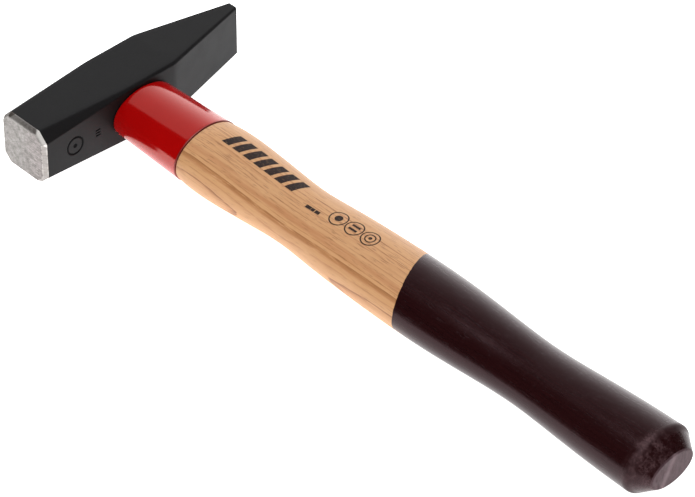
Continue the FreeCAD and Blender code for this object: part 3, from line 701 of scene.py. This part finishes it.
# Print on the crest: a row of slanted bars, three dashes and three rings.
INK = linear(40, 33, 30)
HATCH_FROM = 62.85 * MM
HATCH_PITCH = 5.9 * MM
HATCH_BARS = 7
HATCH_BAR = 4.1 * MM
HATCH_Y = 2.6 * MM
HATCH_HALF = 4.0 * MM
HATCH_SLANT = 0.3
DASHES = [(112.3 * MM, 1.4 * MM), (114.7 * MM, 0.9 * MM), (117.1 * MM, 1.2 * MM)]
DASH_Y = -3.0 * MM
DASH_HALF = 0.8 * MM
RINGS = [125.8 * MM, 134.3 * MM, 142.8 * MM]
RING_Y = 0.1 * MM
RING_RADIUS = 3.8 * MM
RING_LINE = 0.28 * MM
RING_DISC = 1.7 * MM
RING_BAR_Y = 1.1 * MM
RING_BAR_HALF = 0.55 * MM
RING_BAR_LONG = 2.1 * MM
INNER_RING = 2.1 * MM
INNER_DOT = 0.8 * MM
PRINT_SOFT = 0.07 * MM


def inked(g):
    """Mask of the printed marks on the crest of the handle: plain bars, dashes and rings.

    Each shape is a distance that is negative inside it.
    """
    def inside(distance):
        return 1.0 - g.step(distance, -PRINT_SOFT, PRINT_SOFT)

    def both(a, b):
        return g.math("MAXIMUM", a, b)

    def either(a, b):
        return g.math("MINIMUM", a, b)

    up = g.math("ABSOLUTE", g.y - HATCH_Y) - HATCH_HALF
    along = g.x - (g.y - HATCH_Y) * HATCH_SLANT - HATCH_FROM
    cell = g.math("FLOORED_MODULO", along, HATCH_PITCH)
    bar = g.math("ABSOLUTE", cell - 0.5 * HATCH_BAR) - 0.5 * HATCH_BAR
    half_row = 0.5 * HATCH_BARS * HATCH_PITCH
    row = g.math("ABSOLUTE", along - half_row) - half_row
    shape = both(both(bar, up), row)
    for x, half in DASHES:
        across = g.math("ABSOLUTE", g.x - x) - half
        shape = either(shape, both(across, g.math("ABSOLUTE", g.y - DASH_Y) - DASH_HALF))
    for i, x in enumerate(RINGS):
        dx = g.x - x
        dy = g.y - RING_Y
        radius = g.math("SQRT", dx * dx + dy * dy)
        shape = either(shape, g.math("ABSOLUTE", radius - RING_RADIUS) - RING_LINE)
        if i == 0:
            fill = radius - RING_DISC
        elif i == 1:
            from_bar = g.math("ABSOLUTE", g.math("ABSOLUTE", dy) - RING_BAR_Y)
            fill = both(from_bar - RING_BAR_HALF, g.math("ABSOLUTE", dx) - RING_BAR_LONG)
        else:
            from_ring = g.math("ABSOLUTE", radius - INNER_RING)
            fill = either(from_ring - RING_LINE, radius - INNER_DOT)
        shape = either(shape, fill)
    patchy = g.step(g.noise((900, 2600, 2600), detail=3.0), 0.3, 0.42)
    return inside(shape) * g.step(g.z, AXIS_Z, AXIS_Z + 1.0 * MM) * g.span(patchy, 0.8, 1.0)


# The tree's pith, the width of a year, the drift of the grain and a darker band of years.
PITH_Y = 75.0 * MM
PITH_Z = 34.0 * MM
YEAR_WIDTH = 2.2 * MM
GRAIN_RUNOUT = -0.015
BAND_RADIUS = 88.6 * MM
HASH_RATE = 12.9898
HASH_SIZE = 43.758
EARLY_SHARPNESS = 7.0
# Butt: scuffs on the face side, ridge where the bevel starts, and the flat end with its streak.
SCUFF_FROM = 285.0 * MM
SCUFF_FADE = 4.0 * MM
SCUFF_Y_FADE_OUT = (-6.0 * MM, 5.0 * MM)
SCUFF_Y_FADE_IN = (-14.0 * MM, -8.0 * MM)
RIDGE_X = 289.6 * MM
END_FROM = 296.3 * MM
END_FADE = 0.4 * MM
STREAK_ALONG_Y = 0.91
STREAK_ALONG_Z = -0.42
STREAK_OFFSET = 2.5 * MM
# The painted shadow of the sleeve's edge on the wood runs out between these places.
SLEEVE_SHADOW_FROM = 51.1 * MM
SLEEVE_SHADOW_TO = 51.6 * MM


def growth_rings(g):
    """Distance from the pith, place within the year from 0 to 1, and a number for each year."""
    wander = g.noise((8, 20, 20), detail=1.0, rough=0.4)
    ripple = g.noise((26, 150, 150), detail=3.0, rough=0.55)
    dy = g.y - PITH_Y
    dz = g.z - PITH_Z
    radius = g.math("SQRT", dy * dy + dz * dz) + g.x * GRAIN_RUNOUT
    radius = radius + wander * (6.0 * MM) + ripple * (1.2 * MM)
    climate = g.noise((260, 1, 1), detail=1.0, place=g.vector(radius, 0.0, 0.0))
    age = (radius + climate * (5.0 * MM)) / YEAR_WIDTH
    ring = g.math("FRACT", age)
    year = g.math("FLOOR", age)
    vary = g.math("FRACT", g.math("SINE", year * HASH_RATE) * HASH_SIZE)
    return radius, ring, vary


def handle_wood():
    """Ash with growth rings, pores and print, and the dark dip over the lower part."""
    g = Graph("ash_handle")
    radius, ring, vary = growth_rings(g)
    # early wood is the dark, open-pored start of each year
    fibres = g.noise((60, 1500, 1500), detail=4.0, rough=0.65)
    early = g.math("POWER", 1.0 - ring, EARLY_SHARPNESS)
    early = early * g.step(ring, 0.0, 0.04) * g.span(vary * vary, 0.08, 1.0) * g.step(fibres, 0.3, 0.5)
    streaks = g.noise((14, 600, 600), detail=4.0, rough=0.55)
    pores = g.noise((150, 2300, 2300), detail=2.0, rough=0.5)
    crest = g.step(g.z, AXIS_Z + 6.0 * MM, AXIS_Z + 12.0 * MM)
    pore = g.step(pores + early * 0.1 + crest * 0.03, 0.6, 0.7)
    tone = early * 0.95 + fibres * 0.3 + streaks * 0.13 + 0.19
    bare = g.ramp(tone, [(0.12, linear(224, 180, 134)), (0.4, linear(208, 158, 110)),
                         (0.64, linear(186, 130, 84)), (1.0, linear(140, 90, 52))])
    away = g.math("ABSOLUTE", radius - BAND_RADIUS)
    band = (1.0 - g.step(away, 0.3 * MM, 2.4 * MM)) * g.step(streaks, 0.3, 0.65)
    bare = g.mix(band * 0.45, bare, linear(176, 108, 66))
    bare = g.mix(pore * g.span(crest, 0.3, 0.55), bare, linear(132, 82, 50))
    # painted shadow of the sleeve's edge on the wood beside it
    sleeve_shadow = 1.0 - g.step(g.x, SLEEVE_SHADOW_FROM, SLEEVE_SHADOW_TO)
    bare = g.mix(sleeve_shadow * 0.7, bare, linear(66, 34, 24))
    ink = inked(g)
    bare = g.mix(ink, bare, INK)
    # dark dipped grip, with the pores still showing
    stain = g.mix(fibres, linear(23, 5, 6), linear(42, 15, 16))
    stain = g.mix(early * 0.35 + pore * 0.3, stain, linear(14, 4, 5))
    # scuffs on the butt, on the face side of the handle
    scuffed = 1.0 - g.step(g.y, *SCUFF_Y_FADE_OUT)
    scuffed = scuffed * g.span(g.step(g.y, *SCUFF_Y_FADE_IN), 0.3, 1.0)
    bruises = g.noise((280, 280, 280), detail=3.0, rough=0.55, shift=(0.0, 1.3, 0.4))
    worn = g.step(bruises, 0.36, 0.66)
    scuff = g.step(g.noise((1100, 1100, 1100), detail=3.0, rough=0.6), 0.2, 0.75) * worn
    ridge = 1.0 - g.step(g.math("ABSOLUTE", g.x - RIDGE_X), 0.6 * MM, 2.4 * MM)
    scuff = scuff * g.span(scuffed, 0.2, 1.0) * g.step(g.x, SCUFF_FROM, SCUFF_FROM + SCUFF_FADE)
    stain = g.mix(scuff * 0.85, stain, linear(96, 72, 75))
    # flat end, with one paler streak across it
    end_grain = g.step(g.x, END_FROM, END_FROM + END_FADE)
    streak = g.y * STREAK_ALONG_Y + (g.z - AXIS_Z) * STREAK_ALONG_Z + STREAK_OFFSET
    streak = g.math("ABSOLUTE", streak)
    streak = 1.0 - g.step(streak + g.noise((400, 400, 400)) * (1.0 * MM), 0.6 * MM, 2.8 * MM)
    end_tone = g.noise((300, 700, 260), detail=4.0, rough=0.6)
    end = g.mix(end_tone, linear(30, 19, 22), linear(99, 76, 81))
    end = g.mix(streak * 0.42, end, linear(142, 120, 125))
    stain = g.mix(end_grain, stain, end)
    # the dip's edge, a little uneven
    edge = g.noise((300, 500, 500), detail=2.0) * (0.5 * MM)
    edge_line = g.y * DIP_SLOPE_Y + (g.z - AXIS_Z) * DIP_SLOPE_Z + DIP_X
    dipped = g.step(g.x - edge_line - edge, -0.12 * MM, 0.12 * MM)
    g.set(Base_Color=g.mix(dipped, bare, stain))
    # gloss: dull lacquered wood, satin grip with fine wrinkles
    wrinkles = g.noise((1000, 320, 320), detail=3.0, rough=0.6, twist=0.8)
    wood_rough = g.span(fibres, 0.6, 0.76) + ink * 0.1
    grip_rough = g.span(fibres * 0.15 + wrinkles * 0.85, 0.15, 0.31) + scuff * 0.2 + end_grain * 0.3
    grip_rough = grip_rough + ridge * 0.25
    rough = wood_rough * (1.0 - dipped) + grip_rough * dipped
    g.set(Roughness=rough, IOR=1.35, Specular_Tint=(1.0, 0.68, 0.74))
    lacquer = (1.0 - dipped) * (1.0 - ink * 0.85) * 0.5
    g.set(Coat_Weight=lacquer, Coat_Roughness=0.42, Coat_IOR=1.5)
    relief = (early * -0.4 + pore * -0.9 + fibres * 0.8) * (dipped * 0.2 + 0.35)
    relief = relief + dipped * (wrinkles * 1.1 + 0.8) + scuff * 0.6
    g.bump(relief, 0.03 * MM)
    return g.material


def plated_steel(name, tint, rough, scale):
    """Brushed steel: its tint, its lowest roughness and the fineness of the brushing."""
    g = Graph(name)
    brushed = g.noise((scale, scale * 0.12, scale), detail=4.0, rough=0.6)
    cloud = g.noise((260, 260, 260), detail=3.0)
    dark = tuple(0.62 * c for c in tint)
    g.set(Base_Color=g.mix(g.step(cloud * 0.6 + brushed * 0.4, 0.35, 0.65), dark, tint))
    g.set(Metallic=1.0, Roughness=g.span(cloud, rough, rough + 0.16))
    g.bump(brushed * 0.6 + cloud * 0.5, 0.008 * MM)
    return g.material


wear(head, black_coat(), ground_steel())
head.data.polygons.foreach_set("material_index", [1 if flag else 0 for flag in bare])
head.data.update()
wear(handle, handle_wood())
wear(sleeve, red_enamel())
for node, material in (
    ("securing_plate", plated_steel("plate_steel", linear(196, 196, 198), 0.3, 2400)),
    ("securing_screw", plated_steel("screw_steel", linear(206, 200, 184), 0.24, 1600)),
    ("ring_wedge", plated_steel("wedge_steel", linear(168, 166, 164), 0.36, 2000)),
):
    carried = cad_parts[node]
    if not carried.material_slots:
        carried.data.materials.append(material)
    for slot in carried.material_slots:
        slot.link = "OBJECT"
        slot.material = material


# ---------------------------------------------------------------------------------------------
# Stage: floor, lights, camera
# ---------------------------------------------------------------------------------------------

# Camera: what it looks at, its own three axes, its distance and its lens.
TARGET = Vector((0.13102, -0.00033, AXIS_Z))
RIGHT = Vector((0.69658, 0.71743, 0.00809))
UP = Vector((-0.47588, 0.45355, 0.75354))
BACK = Vector((0.53695, -0.52875, 0.65735))
DISTANCE = 1.3564
LENS = 184.35
SENSOR = 36.0
# The middle of the hammer on the floor, which the lights and the backdrop stand round.
MIDDLE = Vector((0.12, 0.0, 0.0))
FLOOR_RADIUS = 6.0
FLOOR_SHARES = (0.02, 0.2, 1.0)
FLOOR_SIDES = 48
FLOOR_Z = -0.2 * MM
FLOOR_GLOW = 1.25


def build_floor():
    """Pale round floor that glows by itself, so that it stays white in the picture."""
    angle = np.linspace(0.0, 2.0 * math.pi, FLOOR_SIDES, endpoint=False)
    rings = []
    for share in FLOOR_SHARES:
        rings.append(np.column_stack([
            TARGET.x + FLOOR_RADIUS * share * np.cos(angle),
            FLOOR_RADIUS * share * np.sin(angle),
            np.full(FLOOR_SIDES, FLOOR_Z),
        ]))
    faces = [tuple(range(FLOOR_SIDES))]
    for i in range(len(rings) - 1):
        inner = i * FLOOR_SIDES
        outer = inner + FLOOR_SIDES
        for k in range(FLOOR_SIDES):
            n = (k + 1) % FLOOR_SIDES
            faces.append((inner + k, outer + k, outer + n, inner + n))
    mesh = bpy.data.meshes.new("floor")
    mesh.from_pydata(np.vstack(rings).tolist(), [], faces)
    floor = bpy.data.objects.new("floor", mesh)
    bpy.context.scene.collection.objects.link(floor)
    g = Graph("floor_paper")
    cloud = g.noise((3, 3, 3), detail=2.0)
    g.set(Base_Color=g.mix(cloud, (0.88, 0.88, 0.88), (0.9, 0.9, 0.9)), Roughness=0.9)
    g.set(Emission_Color=(1.0, 1.0, 1.0), Emission_Strength=FLOOR_GLOW)
    wear(floor, g.material)


def square_light(name, place, side, watts):
    """Square lamp that points at the hammer and that the camera does not see."""
    data = bpy.data.lights.new(name, "AREA")
    data.shape = "SQUARE"
    data.size = side
    data.energy = watts
    lamp = bpy.data.objects.new(name, data)
    lamp.location = place
    lamp.rotation_euler = (MIDDLE - place).to_track_quat("-Z", "Y").to_euler()
    lamp.visible_camera = False
    bpy.context.scene.collection.objects.link(lamp)


def direction(azimuth, elevation):
    """Unit vector; azimuth 0 is +X, and both angles are in degrees."""
    a = math.radians(azimuth)
    e = math.radians(elevation)
    return Vector((math.cos(e) * math.cos(a), math.cos(e) * math.sin(a), math.sin(e)))


BACKDROP_RADIUS = 1.9
BACKDROP_FROM = 98
BACKDROP_TO = 192
BACKDROP_TOP = 60
BACKDROP_COLUMNS = 40
BACKDROP_ROWS = 28
BACKDROP_GLOW = 2.4


def build_backdrop():
    """Lit paper sweep behind the object: bright near the floor, dimmer towards its top."""
    azimuths = np.linspace(BACKDROP_FROM, BACKDROP_TO, BACKDROP_COLUMNS)
    elevations = np.linspace(0, BACKDROP_TOP, BACKDROP_ROWS)
    points = [MIDDLE + BACKDROP_RADIUS * direction(a, e) for e in elevations for a in azimuths]
    faces = []
    for i in range(BACKDROP_ROWS - 1):
        for k in range(BACKDROP_COLUMNS - 1):
            low = i * BACKDROP_COLUMNS + k
            high = low + BACKDROP_COLUMNS
            faces.append((low, high, high + 1, low + 1))
    mesh = bpy.data.meshes.new("backdrop")
    mesh.from_pydata([tuple(p) for p in points], [], faces)
    backdrop = bpy.data.objects.new("backdrop", mesh)
    bpy.context.scene.collection.objects.link(backdrop)
    g = Graph("backdrop_paper")
    height = g.z / BACKDROP_RADIUS
    levels = [(0.0, 1.0), (0.3, 0.72), (0.5, 0.44), (0.68, 0.25), (0.84, 0.19)]
    glow = g.ramp(height, [(at, (level, level, level)) for at, level in levels])
    g.set(Base_Color=(0.0, 0.0, 0.0), Specular_IOR_Level=0.0)
    g.set(Emission_Color=glow, Emission_Strength=BACKDROP_GLOW)
    wear(backdrop, g.material)
    backdrop.visible_camera = False


WORLD_GLOW = 0.02
WORLD_SEEN = (0.93, 0.93, 0.93, 1.0)


def build_world():
    """Dim room round the hammer; the camera sees it as pale grey."""
    world = bpy.data.worlds.new("studio")
    bpy.context.scene.world = world
    world.use_nodes = True
    tree = world.node_tree
    room = tree.nodes["Background"]
    room.inputs[0].default_value = (1.0, 1.0, 1.0, 1.0)
    room.inputs[1].default_value = WORLD_GLOW
    pale = tree.nodes.new("ShaderNodeBackground")
    pale.inputs[0].default_value = WORLD_SEEN
    path = tree.nodes.new("ShaderNodeLightPath")
    choose = tree.nodes.new("ShaderNodeMixShader")
    tree.links.new(path.outputs["Is Camera Ray"], choose.inputs[0])
    tree.links.new(room.outputs[0], choose.inputs[1])
    tree.links.new(pale.outputs[0], choose.inputs[2])
    tree.links.new(choose.outputs[0], tree.nodes["World Output"].inputs[0])


def build_camera():
    """Long lens that looks down on the striking face and along the handle."""
    data = bpy.data.cameras.new("camera")
    data.lens = LENS
    data.sensor_width = SENSOR
    data.sensor_fit = "HORIZONTAL"
    data.clip_start = 0.01
    data.clip_end = 50.0
    camera = bpy.data.objects.new("camera", data)
    turn = Matrix((RIGHT, UP, BACK)).transposed().to_4x4()
    camera.matrix_world = Matrix.Translation(TARGET + BACK * DISTANCE) @ turn
    bpy.context.scene.collection.objects.link(camera)
    bpy.context.scene.camera = camera


# Lamps: place, side of the square, and power in watts.
SOFTBOX_PLACE = MIDDLE + Vector((0.12, -0.08, 1.6))
SOFTBOX_SIDE = 0.95
SOFTBOX_WATTS = 22.0
CARD_PLACE = MIDDLE + 1.8 * direction(-62, 19)
CARD_SIDE = 0.5
CARD_WATTS = 2.2

build_floor()
build_backdrop()
square_light("overhead_softbox", SOFTBOX_PLACE, SOFTBOX_SIDE, SOFTBOX_WATTS)
square_light("front_card", CARD_PLACE, CARD_SIDE, CARD_WATTS)
build_world()
build_camera()
bpy.context.scene.view_settings.view_transform = "Standard"
